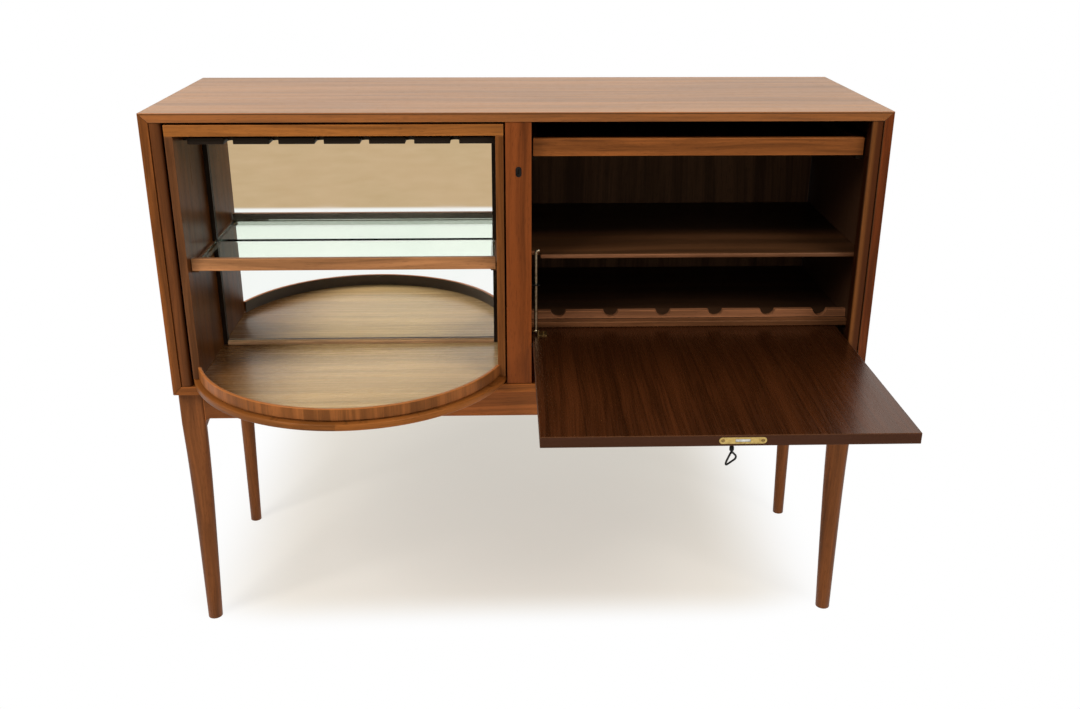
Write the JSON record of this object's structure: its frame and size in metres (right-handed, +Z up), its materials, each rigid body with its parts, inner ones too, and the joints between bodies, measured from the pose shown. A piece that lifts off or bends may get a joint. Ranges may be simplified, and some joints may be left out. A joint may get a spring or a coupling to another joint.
{
  "type": "bar cabinet",
  "caption": "Wooden bar cabinet on tapered legs, with a mirrored bar that revolves out of the front, a drop flap with a stay, a shelf for lying bottles and a shallow pull-out tray.",
  "frame": {"origin": "on the floor, at the middle of the space taken with the flap let down", "axes": "+Z up, +X to the right seen from the front, -Y towards the front"},
  "size_m": [1.2, 0.7826, 0.951],
  "materials": {
    "teak": "oiled teak veneer and solid edges",
    "teak_top": "satin teak veneer with lengthwise grain",
    "teak_dark": "dark red-brown stained wood",
    "teak_flap": "glossy dark brown veneer",
    "teak_inside": "dark brown inner veneer",
    "bar_floor": "light satin veneer",
    "rack_wood": "near-black stained wood",
    "mirror": "silvered glass",
    "glass": "clear glass with a green edge",
    "brass": "worn brass",
    "steel": "dull steel",
    "black_iron": "blackened iron"
  },
  "bodies": {
    "carcass": {"top_panel": "teak_top", "bottom_panel": "teak", "left_side": "teak", "right_side": "teak", "back_panel": "teak_dark", "partition": "teak_inside", "stile": "teak", "left_jamb": "teak", "right_jamb": "teak", "keyhole_plate": "black_iron", "apron_front": "teak_dark", "apron_back": "teak_dark", "apron_left": "teak_dark", "apron_right": "teak_dark", "leg_front_left": "teak", "leg_front_right": "teak", "leg_back_left": "teak", "leg_back_right": "teak", "inner_floor": "teak_inside", "floor_rail": "teak_inside", "bottle_rest": "teak_inside", "right_shelf": "teak_inside", "tray_runner_left": "teak_inside", "tray_runner_right": "teak_inside", "flap_pin_left": "steel", "flap_pin_right": "steel", "bar_pivot_lower": "steel", "bar_pivot_upper": "steel", "stay_keeper": "steel"},
    "bar": {"bar_base_plate": "bar_floor", "gallery_rim": "teak", "bar_left_side": "teak", "bar_right_side": "teak", "bar_top": "teak_inside", "bar_top_rail": "teak", "bar_door": "teak", "mirror": "mirror", "mirror_strip_left": "rack_wood", "mirror_strip_right": "rack_wood", "mirror_bead": "bar_floor", "glass_shelf": "glass", "shelf_lip": "teak", "shelf_cleat_left": "teak", "shelf_cleat_right": "teak", "glass_rack": "rack_wood", "rack_spacer": "rack_wood"},
    "flap": {"flap_panel": "teak_flap", "flap_lock_case": "steel", "flap_lock_plate": "brass", "stay_lug": "brass", "stay_pin": "steel"},
    "flap_bolt": {"flap_lock_bolt": "brass"},
    "key": {"key": "black_iron"},
    "stay": {"stay_rod": "brass"},
    "tray": {"tray_front": "teak", "tray_base": "teak_inside", "tray_wall_left": "teak_inside", "tray_wall_right": "teak_inside", "tray_back": "teak_inside"},
    "bar_bolt": {"bar_lock_bolt": "brass"}
  },
  "joints": [
    {"name": "bar_turn", "type": "hinge", "parent": "carcass", "child": "bar", "pos_m": [-0.2944, 0.07625, 0.4855], "axis": [0, 0, 1], "range_deg": [0, 180]},
    {"name": "flap_drop", "type": "hinge", "parent": "carcass", "child": "flap", "pos_m": [0.2921, -0.01025, 0.553], "axis": [-1, 0, 0], "range_deg": [0, 90]},
    {"name": "stay_swing", "type": "hinge", "parent": "flap", "child": "stay", "pos_m": [0.027, 0.01975, 0.567], "axis": [-1, 0, 0], "range_deg": [-90, 0]},
    {"name": "tray_slide", "type": "slide", "parent": "carcass", "child": "tray", "axis": [0, 1, 0], "range_m": [-0.22, 0]},
    {"name": "key_turn", "type": "hinge", "parent": "flap", "child": "key", "pos_m": [0.2971, -0.37125, 0.553], "axis": [0, 0, -1], "range_deg": [0, 90]},
    {"name": "flap_bolt_slide", "type": "slide", "parent": "flap", "child": "flap_bolt", "axis": [0, -1, 0], "range_m": [0, 0.008]},
    {"name": "bar_bolt_slide", "type": "slide", "parent": "carcass", "child": "bar_bolt", "axis": [-1, 0, 0], "range_m": [0, 0.012]}
  ],
  "couplings": [
    {"joint": "stay_swing", "follows": "flap_drop", "ratio": -0.92204},
    {"joint": "flap_bolt_slide", "follows": "key_turn", "m_per_rad": 0.0050925}
  ]
}
